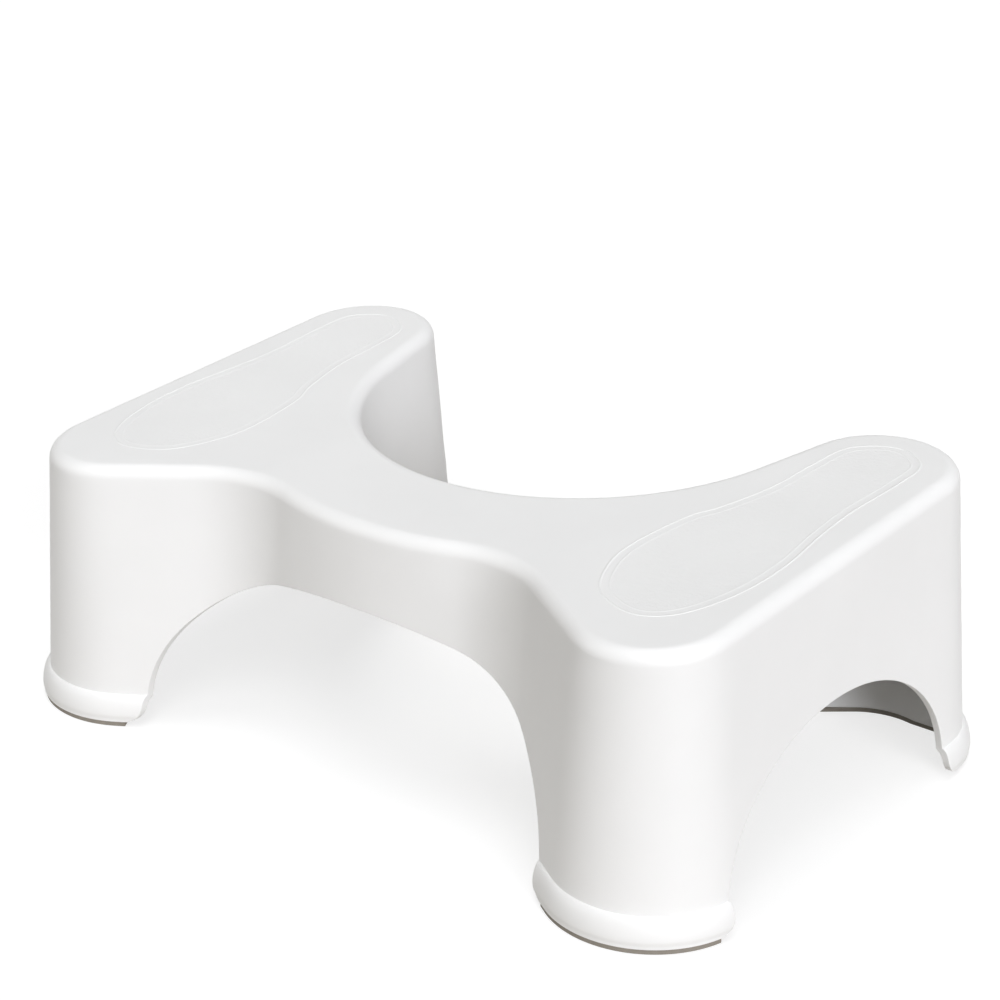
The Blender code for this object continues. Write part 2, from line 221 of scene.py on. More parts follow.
def fillet_place(along, share, depth):
    """Point on the fillet, from the wall at share 0 to the deck at share 1."""
    point, normal = edge_spot(along)
    offset, height, last = fillet(along)
    angle = DRAFT + (last - DRAFT) * share
    radius = FILLET_RADIUS - depth
    return Vector((*(point + normal * (offset + radius * math.cos(angle))),
                   height + radius * math.sin(angle)))


def wall_top(along, depth):
    """Height at which the wall ends and the fillet begins."""
    return fillet(along)[1] + (FILLET_RADIUS - depth) * math.sin(DRAFT)


print(f"wall stands {wall_top(0.0, 0.0) * 1000:.1f} mm high in front and "
      f"{wall_top(EDGE_LENGTH, 0.0) * 1000:.1f} mm at the recess")

# %% [markdown]
# ## The arches
#
# Four arches are cut straight through the walls: the long ones from front to back, the side
# ones from right to left. An arch is a superellipse, a little squarer than an ellipse, and
# its feet are rounded below the springing. Cutting it with a Boolean would leave ragged faces
# next to a rounded edge. Instead the mesh is laid round each arch like courses of stone, in
# rings that start at the arch and end at the next foot's middle or at the top of the wall.

# %% Arch measures and profiles
FRONT_HALF_SPAN = 0.1545
BACK_HALF_SPAN = 0.1435
SIDE_HALF_SPAN = 0.1080
SIDE_MIDDLE = -0.0086
FRONT_CROWN_DROP = 0.0592
BACK_CROWN_DROP = 0.0600
SIDE_CROWN_DROP = 0.0805
FRONT_CROWN = DECK_HEIGHT - FRONT_CROWN_DROP
BACK_CROWN = DECK_HEIGHT - BACK_CROWN_DROP
SIDE_CROWN = DECK_HEIGHT - SIDE_CROWN_DROP
LONG_FULLNESS = 2.12
SIDE_FULLNESS = 2.0
FOOT_CORNER_RADIUS = 0.0100
SPRINGING = SEAT_HEIGHT + FOOT_CORNER_RADIUS

# How often a stretch of the edge is halved to find a place on it
HALVINGS = 44


def leg_reach(z, half_span, crown, fullness):
    """Half the opening's width at a height."""
    if z < SPRINGING:
        drop = min((SPRINGING - z) / FOOT_CORNER_RADIUS, 1.0)
        return half_span + FOOT_CORNER_RADIUS * (1.0 - math.sqrt(1.0 - drop**2))
    share = min((z - SPRINGING) / (crown - SPRINGING), 1.0)
    return half_span * (1.0 - share**fullness) ** (1.0 / fullness)


def arch_point(turn, half_span, crown, fullness):
    """Point of the arch above its springing, as (distance from its middle, height)."""
    across = abs(math.cos(turn)) ** (2.0 / fullness)
    up = abs(math.sin(turn)) ** (2.0 / fullness)
    return math.copysign(half_span * across, math.cos(turn)), \
        SPRINGING + (crown - SPRINGING) * up


def halved(low, high, is_before):
    """Place between low and high up to which is_before holds."""
    for _ in range(HALVINGS):
        middle = (low + high) / 2
        if is_before(middle):
            low = middle
        else:
            high = middle
    return (low + high) / 2


def along_where(axis, value, z, depth, low, high):
    """Distance along the edge at which the skin has this x or y."""
    rising = skin_place(high, z, depth)[axis] > skin_place(low, z, depth)[axis]
    return halved(low, high,
                  lambda along: (skin_place(along, z, depth)[axis] < value) == rising)


# %% Where each half arch meets the skin
CORNER_START = EDGE_RUNS[3][0]
SIDE_START = EDGE_RUNS[4][0]
BACK_CORNER_START = EDGE_RUNS[5][0]
BACK_TURN = BACK_CORNER_START + BACK_CORNER_RADIUS * (math.pi - EDGE_RUNS[5][2])
LONG_FRONT = (FRONT_HALF_SPAN, FRONT_CROWN, LONG_FULLNESS)
LONG_BACK = (BACK_HALF_SPAN, BACK_CROWN, LONG_FULLNESS)
SIDE = (SIDE_HALF_SPAN, SIDE_CROWN, SIDE_FULLNESS)

# Name: arch, axis it is measured on, its middle, which way this half goes, reach on the edge
HALF_ARCHES = {
    "front": (LONG_FRONT, 0, 0.0, 1, 0.0, SIDE_START),
    "side_front": (SIDE, 1, SIDE_MIDDLE, -1, CORNER_START, BACK_TURN),
    "side_back": (SIDE, 1, SIDE_MIDDLE, 1, CORNER_START, BACK_TURN),
    "back": (LONG_BACK, 0, 0.0, 1, BACK_CORNER_START, EDGE_LENGTH),
}


def meet(half_arch, across, z, depth):
    """Place along the edge where the arch's side, this far across, meets a skin."""
    _, axis, middle, way, low, high = HALF_ARCHES[half_arch]
    return along_where(axis, middle + way * across, z, depth, low, high)


def leg_along(half_arch, z, depth):
    """Place along the edge where the arch's side meets a skin at a height."""
    return meet(half_arch, leg_reach(z, *HALF_ARCHES[half_arch][0]), z, depth)


FRONT_FOOT_MIDDLE = (leg_along("front", RIM_TOP, 0.0) + leg_along("side_front", RIM_TOP, 0.0)) / 2
BACK_FOOT_MIDDLE = (leg_along("side_back", RIM_TOP, 0.0) + leg_along("back", RIM_TOP, 0.0)) / 2
SIDE_ARCH_ALONG = along_where(1, SIDE_MIDDLE, SIDE_CROWN, 0.0, CORNER_START, BACK_TURN)
print(f"feet are centred {FRONT_FOOT_MIDDLE * 1000:.0f} and {BACK_FOOT_MIDDLE * 1000:.0f} mm "
      "along the edge")

# %% [markdown]
# ## Rings of wall round an arch
#
# Every half arch gets a grid. Its courses run from the arch's edge outwards. Low on the leg a
# course is level and ends at the foot's middle, so that the rim and its crease follow the
# courses. Higher up the courses fan out from one point, first to the foot's middle line and
# then to the top of the wall. Inside and outside skin use the same turns of the arch, so the
# cut face between them is a ribbon of clean quads that a bevel can round.

# %% Courses of one half arch
FAN_HEIGHT = 0.0450
FAN_UPRIGHT = 16
FAN_SAMPLES = 400
FAN_MARGIN = 0.0020
RING_STEPS = 18
RING_GROWTH = 1.12
TOP_STEPS = {"front": 50, "side_front": 32, "side_back": 34, "back": 62}
CENTRES = {"front": 0.0, "side_front": SIDE_ARCH_ALONG, "side_back": SIDE_ARCH_ALONG,
           "back": EDGE_LENGTH}
FOOT_MIDDLES = {"front": FRONT_FOOT_MIDDLE, "side_front": FRONT_FOOT_MIDDLE,
                "side_back": BACK_FOOT_MIDDLE, "back": BACK_FOOT_MIDDLE}

# Heights above the seat, in mm: close together at the foot's corner, the rim and its crease
RIM_ROWS_MM = (0.0, 0.15, 0.6, 1.3, 2.21, 3.4, 4.76, 6.4, 8.2, 10.0, 11.8, 13.3, 14.5, 15.5,
               16.2, 16.7, 16.93)
WALL_ROWS = 8
FOOT_ROWS = [SEAT_HEIGHT + row / 1000 for row in RIM_ROWS_MM]
FOOT_ROWS += [RIM_TOP + (FAN_HEIGHT - RIM_TOP) * row / WALL_ROWS for row in range(WALL_ROWS + 1)]


def fan_ends(half_arch, depth):
    """Outer ends of the fanned courses, as (along, height)."""
    middle, centre = FOOT_MIDDLES[half_arch], CENTRES[half_arch]
    top = wall_top(middle, depth)
    ends = [(middle, FAN_HEIGHT + (top - FAN_HEIGHT) * step / FAN_UPRIGHT)
            for step in range(1, FAN_UPRIGHT + 1)]
    steps = TOP_STEPS[half_arch]
    for step in range(1, steps + 1):
        along = middle + (centre - middle) * step / steps
        ends.append((along, wall_top(along, depth)))
    return ends


def fan_turns(half_arch):
    """The arch's turn at which each fanned course starts, seen from the fan's centre."""
    arch = HALF_ARCHES[half_arch][0]
    centre = CENTRES[half_arch]
    angles, turns = [], []
    for step in range(FAN_SAMPLES + 1):
        turn = math.pi / 2 * step / FAN_SAMPLES
        across, z = arch_point(turn, *arch)
        if z > FAN_HEIGHT - FAN_MARGIN:
            along = meet(half_arch, across, z, 0.0)
            angles.append(math.atan2(z - FAN_HEIGHT, abs(along - centre)))
            turns.append(turn)
    wanted = [math.atan2(z - FAN_HEIGHT, abs(along - centre))
              for along, z in fan_ends(half_arch, 0.0)]
    found = np.interp(wanted, angles, turns)
    found[-1] = math.pi / 2
    return found


def courses(half_arch, depth):
    """Grid of points: one row for each course, from the arch's edge outwards."""
    arch = HALF_ARCHES[half_arch][0]
    starts = [(leg_along(half_arch, z, depth), z) for z in FOOT_ROWS]
    ends = [(FOOT_MIDDLES[half_arch], z) for z in FOOT_ROWS]
    for turn in fan_turns(half_arch):
        across, z = arch_point(turn, *arch)
        starts.append((meet(half_arch, across, z, depth), z))
    ends += fan_ends(half_arch, depth)
    grid = []
    for start, end in zip(starts, ends):
        shares = [(step / RING_STEPS) ** RING_GROWTH for step in range(RING_STEPS + 1)]
        grid.append([skin_place(start[0] + (end[0] - start[0]) * share,
                                start[1] + (end[1] - start[1]) * share, depth)
                     for share in shares])
    return grid


def top_line():
    """Places along the edge where the courses reach the top of the wall."""
    line = [0.0]
    for name in ("front", "side_front", "side_back", "back"):
        steps = TOP_STEPS[name]
        first, last = sorted((FOOT_MIDDLES[name], CENTRES[name]))
        line += [first + (last - first) * step / steps for step in range(1, steps + 1)]
    return line


# %% A mesh that joins points in the same place
class Mould:
    """Gathers faces by their corners' places, so that neighbouring grids share points."""

    def __init__(self):
        self.shape = bmesh.new()
        self.known = {}

    def point(self, place):
        """The mesh's point at a place, made when it is first asked for."""
        key = tuple(round(value * MICRONS) for value in place)
        if key not in self.known:
            self.known[key] = self.shape.verts.new(place)
        return self.known[key]

    def face(self, places, material=0):
        """Adds a face, unless too few of its corners differ or it is there already."""
        corners = []
        for place in places:
            corner = self.point(place)
            if corner not in corners:
                corners.append(corner)
        if len(corners) > 2 and self.shape.faces.get(corners) is None:
            self.shape.faces.new(corners).material_index = material

    def grid(self, rows):
        """Adds the faces between neighbouring rows of places."""
        for row, after in zip(rows, rows[1:]):
            for i in range(len(row) - 1):
                self.face((row[i], row[i + 1], after[i + 1], after[i]))

    def edge(self, first, second):
        """The edge between two places."""
        return self.shape.edges.get((self.point(first), self.point(second)))


def flipped(place):
    """The same place on the left half."""
    return Vector((-place[0], place[1], place[2]))


def both_sides(rows):
    """Rows of the right half and their mirror images."""
    return rows, [[flipped(place) for place in row] for row in rows]


# %% [markdown]
# ## The sole outlines on the deck
#
# Each wing carries the outline of a shoe sole that shows where the feet go: two low round
# beads, one inside the other. In the mould each is a groove cut with a ball-nosed cutter. A
# bead is built as loops round the sole, and the flat deck is filled up to its first and last
# loop and between the two beads, so deck and beads are one surface.

# %% Sole measures and bead loops
SOLE_WIDTH = 0.0833
SOLE_SIDE_MARGIN = 0.0200
SOLE_TOE_MARGIN = 0.0360
SOLE_HEEL_MARGIN = 0.0230
SOLE_INNER_X = HALF_WIDTH - SOLE_SIDE_MARGIN - SOLE_WIDTH
SOLE_TOE_Y = SOLE_TOE_MARGIN - HALF_DEPTH
SOLE_HEEL_Y = HALF_DEPTH - SOLE_HEEL_MARGIN

# Points round the sole, as shares of its width from the inner side and of its length from
# the toes
SOLE_SHARES = (
    (0.57, 0.0), (0.82, 0.054), (0.97, 0.194), (1.0, 0.354), (0.95, 0.514), (0.93, 0.654),
    (0.96, 0.834), (0.93, 0.946), (0.66, 1.0), (0.37, 0.942), (0.305, 0.814), (0.275, 0.666),
    (0.165, 0.516), (0.065, 0.434), (0.0, 0.266), (0.05, 0.15), (0.235, 0.042),
)
SOLE_STEPS = 14

# Section of a bead, as (distance from its middle, height), as shares of its width and height
BEAD_SECTION = ((-0.5, 0.0), (-0.4, 0.2), (-0.28, 0.62), (-0.14, 0.92), (0.0, 1.0),
                (0.14, 0.92), (0.28, 0.62), (0.4, 0.2), (0.5, 0.0))

# Each bead's inset from the sole's outline, its width and its height
BEADS = ((0.0, 0.0018, 0.00026), (0.0052, 0.0016, 0.00014))


def sole_line():
    """Closed smooth line through the sole's points, as an array of x and y."""
    points = np.array([(SOLE_INNER_X + SOLE_WIDTH * across,
                        SOLE_TOE_Y + (SOLE_HEEL_Y - SOLE_TOE_Y) * along)
                       for across, along in SOLE_SHARES])
    line = []
    for i in range(len(points)):
        before, here, after, beyond = (points[(i + k) % len(points)] for k in (-1, 0, 1, 2))
        for step in range(SOLE_STEPS):
            t = step / SOLE_STEPS
            line.append(here + 0.5 * t * (after - before + t * (
                2 * before - 5 * here + 4 * after - beyond
                + t * (3 * (here - after) + beyond - before))))
    return np.array(line)


def bead_loops(inset, width, height):
    """Loops of one bead of the right sole, from its outer foot to its inner one."""
    line = sole_line()
    tangent = np.roll(line, -1, axis=0) - np.roll(line, 1, axis=0)
    tangent /= np.linalg.norm(tangent, axis=1)[:, None]
    outward = np.stack([tangent[:, 1], -tangent[:, 0]], axis=1)
    deck_up = Vector((0.0, -math.sin(DECK_SLOPE), math.cos(DECK_SLOPE)))
    loops = []
    for across, up in BEAD_SECTION:
        spots = line - outward * (inset + across * width)
        loops.append([Vector((x, y, deck_top(y))) + deck_up * height * up for x, y in spots])
    return loops


def inside(spot, loop):
    """Whether a point seen from above lies in a closed loop."""
    within = False
    for a, b in zip(loop, loop[1:] + loop[:1]):
        if (a[1] > spot[1]) != (b[1] > spot[1]):
            if spot[0] < a[0] + (spot[1] - a[1]) / (b[1] - a[1]) * (b[0] - a[0]):
                within = not within
    return within


# Settings of the triangulation: it keeps only what lies within the given edges, and joins
# points that are this near
WITHIN_EDGES = 1
JOIN_WITHIN = 1e-9


def fill_flat(mould, rim, holes, material=0):
    """Fills a flat outline, apart from its holes, with triangles."""
    loops = [rim] + holes
    places = [place for loop in loops for place in loop]
    edges, first = [], 0
    for loop in loops:
        count = len(loop)
        edges += [(first + i, first + (i + 1) % count) for i in range(count)]
        first += count
    flat = [Vector((place[0], place[1])) for place in places]
    spots, _, faces, origins, _, _ = delaunay_2d_cdt(flat, edges, [], WITHIN_EDGES,
                                                     JOIN_WITHIN)
    for corners in faces:
        middle = sum((spots[i] for i in corners), Vector((0.0, 0.0))) / len(corners)
        if not any(inside(middle, hole) for hole in holes):
            mould.face([places[origins[i][0]] for i in corners], material)


# %% [markdown]
# ## The shell in one piece
#
# Outside skin, inside skin, cut faces, deck and underside are laid into one closed mesh. The
# edges that a mould leaves slightly round get a bevel weight: most on the outside of the
# arches, where hands and mops meet them, and less inside and under the feet. The rim's
# crease is marked sharp.

# %% Lay the shell
FILLET_STEPS = 9
ROUND_OUTSIDE = 0.0022
ROUND_INSIDE_SHARE = 0.4
ROUND_SOLE_SHARE = 0.3

# Courses from the foot's sole up over which an arch's round grows to its full width
ROUND_GROWTH_ROWS = 8


def lay_shell():
    """The whole shell as one closed mesh, with its bevel weights."""
    mould = Mould()
    line = top_line()
    grids = {(name, depth): courses(name, depth)
             for name in HALF_ARCHES for depth in (0.0, WALL)}
    caps = {}
    for depth in (0.0, WALL):
        for name in HALF_ARCHES:
            for rows in both_sides(grids[name, depth]):
                mould.grid(rows)
        rings = [[fillet_place(along, step / FILLET_STEPS, depth) for along in line]
                 for step in range(FILLET_STEPS + 1)]
        for rows in both_sides(rings):
            mould.grid(rows)
        right = rings[-1]
        caps[depth] = right + [flipped(place) for place in reversed(right[1:-1])]
    for name in HALF_ARCHES:
        outer, inner = grids[name, 0.0], grids[name, WALL]
        ribbon = [[row[0] for row in outer], [row[0] for row in inner]]
        for rows in both_sides(ribbon) + both_sides([outer[0], inner[0]]):
            mould.grid(rows)

    # Deck with both soles, and the plain underside
    right = [bead_loops(*bead) for bead in BEADS]
    left = [[[flipped(place) for place in reversed(loop)] for loop in bead] for bead in right]
    fill_flat(mould, caps[0.0], [right[0][0], left[0][0]])
    for outer_bead, inner_bead in (right, left):
        for bead in (outer_bead, inner_bead):
            mould.grid([loop + loop[:1] for loop in bead])
        fill_flat(mould, outer_bead[-1], [inner_bead[0]])
        fill_flat(mould, inner_bead[-1], [], material=1)
    fill_flat(mould, caps[WALL], [])

    weigh_edges(mould, grids)
    bmesh.ops.recalc_face_normals(mould.shape, faces=mould.shape.faces)
    return mould.shape


def weigh_edges(mould, grids):
    """Marks the edges that the bevel rounds, and the crease above each rim."""
    weight = mould.shape.edges.layers.float.new("bevel_weight_edge")
    for (name, depth), grid in grids.items():
        lip = ROUND_INSIDE_SHARE if depth else 1.0
        sole = ROUND_SOLE_SHARE * lip
        for rows in both_sides(grid):
            edge_of_arch = [row[0] for row in rows]
            for i, (a, b) in enumerate(zip(edge_of_arch, edge_of_arch[1:])):
                grown = min(i / ROUND_GROWTH_ROWS, 1.0)
                mould.edge(a, b)[weight] = sole + (lip - sole) * grown
            for a, b in zip(rows[0], rows[0][1:]):
                mould.edge(a, b)[weight] = sole
            crease = rows[len(RIM_ROWS_MM)]
            for a, b in zip(crease, crease[1:]):
                mould.edge(a, b).smooth = False


shell_shape = lay_shell()
loose = sum(1 for edge in shell_shape.edges if len(edge.link_faces) != 2)
print(f"shell has {len(shell_shape.faces)} faces, {loose} edges that don't join two faces, "
      f"and holds {shell_shape.calc_volume() * 1e6:.0f} cm3 of plastic")


# %% Make pieces of meshes
BEVEL_STEPS = 3


def make_piece(name, shape):
    """Turns a mesh under work into a smooth piece of the stool, in a slot of the frame."""
    mesh = bpy.data.meshes.new(name)
    for face in shape.faces:
        face.smooth = True
    shape.to_mesh(mesh)
    shape.free()
    piece = bpy.data.objects.new(name, mesh)
    bpy.context.scene.collection.objects.link(piece)
    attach(piece, "root")
    return piece


def round_edges(piece, width):
    """Rounds each edge by its share of the width."""
    bevel = piece.modifiers.new("rounded edges", "BEVEL")
    bevel.width = width
    bevel.segments = BEVEL_STEPS
    bevel.limit_method = "WEIGHT"
    bevel.use_clamp_overlap = True
    bevel.miter_outer = "MITER_SHARP"


def keep_flats(piece):
    """Shades flat faces flat right up to their rounded edges."""
    weighted = piece.modifiers.new("flat faces stay flat", "WEIGHTED_NORMAL")
    weighted.mode = "FACE_AREA_WITH_ANGLE"
    weighted.keep_sharp = True


shell = make_piece("footstool_shell", shell_shape)
round_edges(shell, ROUND_OUTSIDE)
keep_flats(shell)
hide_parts("moulded_shell")

# %% [markdown]
# ## Ledges and rubber strips under the feet
#
# Inside each foot a ledge widens the wall, and a rubber strip is stuck to its underside to
# stop the stool sliding. Both follow the foot as a band between two distances from the deck's
# edge, and their inner corners are well rounded at the ends. The ledge runs up into the wall
# in a hollow curve, which moulders call a cove, so that it has no thin root. The long edges
# are rounded with a few rings of their own, because the points at a band's ends lie too close
# together for a bevel.

# %% Plan of a foot's band
LEDGE_REACH = 0.0140
LEDGE_SETBACK = 0.0085
CHORD_DROP = 0.0010
BACK_SIDE_SETBACK = 0.0100
STRIP_INSET = 0.0008
BAND_STEPS = 120
LEDGE_INNER = wall_offset(SEAT_HEIGHT) - WALL - LEDGE_REACH

# How far the inner corners are rounded on the front feet (-1) and the back ones (1)
END_CORNERS = {-1: 0.0120, 1: 0.0060}

# A back foot's inner line leaves the curve at this x and runs straight to this y
STRAIGHT_FROM_X = 0.1766
STRAIGHT_END_Y = 0.1220

# Name, side (1 is right), end (-1 is in front, 1 behind)
FEET = (("front_right", 1, -1), ("front_left", -1, -1), ("back_right", 1, 1),
        ("back_left", -1, 1))


def band_reach(end, extra):
    """First and last place of a right foot's band along the edge; -1 is in front, 1 behind."""
    near_x = (FRONT_HALF_SPAN if end < 0 else BACK_HALF_SPAN) + LEDGE_SETBACK + extra
    near_y = SIDE_HALF_SPAN + LEDGE_SETBACK + extra + end * SIDE_MIDDLE
    if end < 0:
        return (along_where(0, near_x, SEAT_HEIGHT, 0.0, 0.0, SIDE_START),
                along_where(1, -near_y, SEAT_HEIGHT, 0.0, CORNER_START, BACK_TURN))
    far_x = HALF_WIDTH - BACK_SIDE_SETBACK - extra
    by_x = along_where(0, near_x, SEAT_HEIGHT, 0.0, BACK_CORNER_START, EDGE_LENGTH)
    by_y = along_where(1, near_y, SEAT_HEIGHT, 0.0, BACK_TURN, EDGE_LENGTH)
    return (along_where(0, far_x, SEAT_HEIGHT, 0.0, BACK_CORNER_START, EDGE_LENGTH),
            min(by_x, by_y))


def straight_run(extra, inside_offset):
    """Where a back foot's inner line leaves the curve, and the two ends of its straight."""
    def is_curved(along):
        """Whether the line still follows the curve at this place along the edge."""
        point, normal = edge_spot(along)
        return (point + normal * LEDGE_INNER).x > STRAIGHT_FROM_X

    straight_from = halved(BACK_TURN, EDGE_LENGTH, is_curved)
    point, normal = edge_spot(straight_from)
    leave = point + normal * inside_offset
    goal = Vector((BACK_HALF_SPAN + LEDGE_SETBACK + extra, STRAIGHT_END_Y))
    goal += normal * (inside_offset - LEDGE_INNER)
    goal.x = max(goal.x, BACK_HALF_SPAN + LEDGE_SETBACK + extra)
    return straight_from, leave, goal


def band_ring(end, extra, outside, inside_offset, corner, z):
    """Closed ring of a right foot's band at one height."""
    first, last = band_reach(end, extra)
    chord = HALF_DEPTH + LEDGE_INNER - CHORD_DROP + extra
    straight_from, leave, goal = straight_run(extra, inside_offset)
    outer, inner = [], []
    for step in range(BAND_STEPS + 1):
        along = first + (last - first) * (1.0 - math.cos(math.pi * step / BAND_STEPS)) / 2
        point, normal = edge_spot(along)
        to_end = along - first if end > 0 else min(along - first, last - along)
        near_end = max(1.0 - to_end / corner, 0.0)
        rounding = corner * (1.0 - math.sqrt(1.0 - near_end**2))
        place = point + normal * (inside_offset + rounding)
        if end > 0 and along > straight_from:
            place = leave.lerp(goal, (along - straight_from) / (last - straight_from))
        elif end > 0 and place.x > HALF_WIDTH - BACK_CORNER_RADIUS:
            place.y = max(place.y, min(chord, (point + normal * outside).y - WALL / 2))
        outer.append(Vector((*(point + normal * outside), z)))
        inner.append(Vector((*place, z)))
    return outer + inner[::-1]


def band_shape(side, rings):
    """Closed solid through rings that have the same number of points."""
    mould = Mould()
    rings = [[Vector((side * place.x, place.y, place.z)) for place in ring] for ring in rings]
    mould.grid([ring + ring[:1] for ring in rings])
    mould.face(rings[0])
    mould.face(rings[-1])
    bmesh.ops.recalc_face_normals(mould.shape, faces=mould.shape.faces)
    return mould.shape


# %% Ledges with their coves
LEDGE_EDGE = 0.0008
COVE_HEIGHT = 0.0240
COVE_STEPS = 7
COVE_HOLLOW = 0.75
ROOT = 0.0004
ROUND_STEPS = 3

# How much of an end's rounded corner is gone where the cove reaches the wall
CORNER_FADE = 0.9


def round_levels(radius):
    """Heights and insets of rings that round a lower edge."""
    turns = [math.pi / 2 * step / ROUND_STEPS for step in range(ROUND_STEPS + 1)]
    return [(radius * (1.0 - math.cos(turn)), radius * (1.0 - math.sin(turn))) for turn in turns]


def ledge_rings(end):
    """The ledge's flat underside, its rounded inner edge, and the cove up into the wall."""
    levels = round_levels(LEDGE_EDGE)
    for step in range(1, COVE_STEPS + 1):
        share = step / COVE_STEPS
        levels.append((LEDGE_EDGE + COVE_HEIGHT * share,
                       (LEDGE_REACH + ROOT) * share**COVE_HOLLOW))
    rings = []
    for height, reached in levels:
        z = SEAT_HEIGHT + height
        corner = END_CORNERS[end] * (1.0 - CORNER_FADE * reached / (LEDGE_REACH + ROOT))
        rings.append(band_ring(end, 0.0, skin_offset(z, WALL / 2), LEDGE_INNER + reached,
                               corner, z))
    return rings


ledges = []
for foot, side, end in FEET:
    ledge = make_piece(f"strip_ledge_{foot}", band_shape(side, ledge_rings(end)))
    keep_flats(ledge)
    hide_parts("moulded_shell")
    ledges.append(ledge)
print("ledges:", [len(ledge.data.polygons) for ledge in ledges])

# %% Rubber strips
STRIP_OUTSIDE = skin_offset(SEAT_HEIGHT, 0.0) - STRIP_INSET
STRIP_ROUND = 0.0005


def strip_rings(end):
    """Rings up the strip, whose lower and upper edges are both rounded."""
    low = round_levels(STRIP_ROUND)
    high = [(STRIP_THICKNESS - height, inset) for height, inset in reversed(low)]
    return [band_ring(end, STRIP_INSET + inset, STRIP_OUTSIDE - inset,
                      LEDGE_INNER + STRIP_INSET + inset, END_CORNERS[end], height)
            for height, inset in low + high]


strips = []
for foot, side, end in FEET:
    strip = make_piece(f"rubber_strip_{foot}", band_shape(side, strip_rings(end)))
    keep_flats(strip)
    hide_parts(f"foot_strip_{foot}")
    strips.append(strip)
print("strips:", [len(strip.data.polygons) for strip in strips])

# %% [markdown]
# ## Stiffening ribs under the deck
#
# A thin deck would sag, so the mould has narrow slots that leave a grid of ribs below it.
# The grid starts as one solid slab that reaches halfway into the deck and walls, and a field
# of square pockets is cut out of it.

# %% The slab that the ribs are cut from
RIB_PITCH = 0.0460
RIB_THICKNESS = 0.0022
RIB_DEPTH = 0.0120
SLAB_STRIDE = 3
SLAB_FILLET_STEPS = 4

# Each round brings the slab's lower edge nearer to its depth below the sloping deck
RIB_FOOT_ROUNDS = 4


def rib_foot(along):
    """Lower edge of the slab, halfway into the wall."""
    z = deck_top(edge_spot(along)[0].y) - WALL - RIB_DEPTH
    for _ in range(RIB_FOOT_ROUNDS):
        z = deck_top(skin_place(along, z, WALL / 2).y) - WALL - RIB_DEPTH
    return skin_place(along, z, WALL / 2)


def rib_slab():
    """Solid slab below the deck, which ends halfway into the wall and the deck."""
    mould = Mould()
    line = top_line()[::SLAB_STRIDE]
    line[-1] = EDGE_LENGTH
    rings = [[rib_foot(along) for along in line]]
    rings += [[fillet_place(along, step / SLAB_FILLET_STEPS, WALL / 2) for along in line]
              for step in range(SLAB_FILLET_STEPS + 1)]
    for rows in both_sides(rings):
        mould.grid(rows)
    for ring in (rings[0], rings[-1]):
        fill_flat(mould, ring + [flipped(place) for place in reversed(ring[1:-1])], [])
    bmesh.ops.recalc_face_normals(mould.shape, faces=mould.shape.faces)
    return mould.shape


# %% The pockets that are cut out of it
POCKETS_SIDEWAYS = 6
POCKETS_BACKWARDS = 4
POCKET_BELOW = 0.05
POCKET_ABOVE = 0.02


def pocket_field():
    """Blocks in rows and columns, which reach right through the slab."""
    shape = bmesh.new()
    side = RIB_PITCH - RIB_THICKNESS
    low = deck_top(-HALF_DEPTH) - POCKET_BELOW
    high = deck_top(HALF_DEPTH) + POCKET_ABOVE
    for column in range(-POCKETS_SIDEWAYS, POCKETS_SIDEWAYS + 1):
        for row in range(-POCKETS_BACKWARDS, POCKETS_BACKWARDS + 1):
            middle = Vector((column * RIB_PITCH, row * RIB_PITCH, (low + high) / 2))
            size = Vector((side, side, high - low))
            bmesh.ops.create_cube(shape, size=1.0, matrix=Matrix.LocRotScale(middle, None, size))
    mesh = bpy.data.meshes.new("pockets")
    shape.to_mesh(mesh)
    shape.free()
    return bpy.data.objects.new("pockets", mesh)


ribs = make_piece("deck_ribs", rib_slab())
pockets = pocket_field()
bpy.context.scene.collection.objects.link(pockets)
cut = ribs.modifiers.new("pockets", "BOOLEAN")
cut.operation = "DIFFERENCE"
cut.solver = "EXACT"
cut.object = pockets
bpy.context.view_layer.update()
finished = ribs.evaluated_get(bpy.context.evaluated_depsgraph_get())
ribs_mesh = bpy.data.meshes.new_from_object(finished)
ribs.modifiers.clear()
ribs.data = ribs_mesh
bpy.data.objects.remove(pockets, do_unlink=True)
ribs.data.shade_flat()
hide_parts("moulded_shell")
print(f"rib grid has {len(ribs.data.polygons)} faces")

# %% [markdown]
# ## Finishes
#
# Colours are written as the sRGB hex values that a colour chart gives and turned to linear by
# one function. One other function adds a node with its settings and links.

# %% Colour and node helpers
def linear(code):
    """Linear red, green, blue and alpha of an sRGB hex value."""
    channels = [int(code[i:i + 2], 16) / 255 for i in (1, 3, 5)]
    return tuple(c / 12.92 if c <= 0.04045 else ((c + 0.055) / 1.055) ** 2.4
                 for c in channels) + (1.0,)


def add_node(tree, kind, inputs=None, **settings):
    """Adds a node. An input is a number or colour, or the socket that feeds it."""
    made = tree.nodes.new(kind)
    for name, value in settings.items():
        setattr(made, name, value)
    for name, value in (inputs or {}).items():
        if isinstance(value, bpy.types.NodeSocket):
            tree.links.new(value, made.inputs[name])
        else:
            made.inputs[name].default_value = value
    return made


def new_finish(name, roughness, ior):
    """A material for plastic or rubber, with its node tree and its shader."""
    material = bpy.data.materials.new(name)
    material.use_nodes = True
    shader = material.node_tree.nodes["Principled BSDF"]
    shader.inputs["Roughness"].default_value = roughness
    shader.inputs["IOR"].default_value = ior
    shader.inputs["Metallic"].default_value = 0.0
    return material, material.node_tree, shader


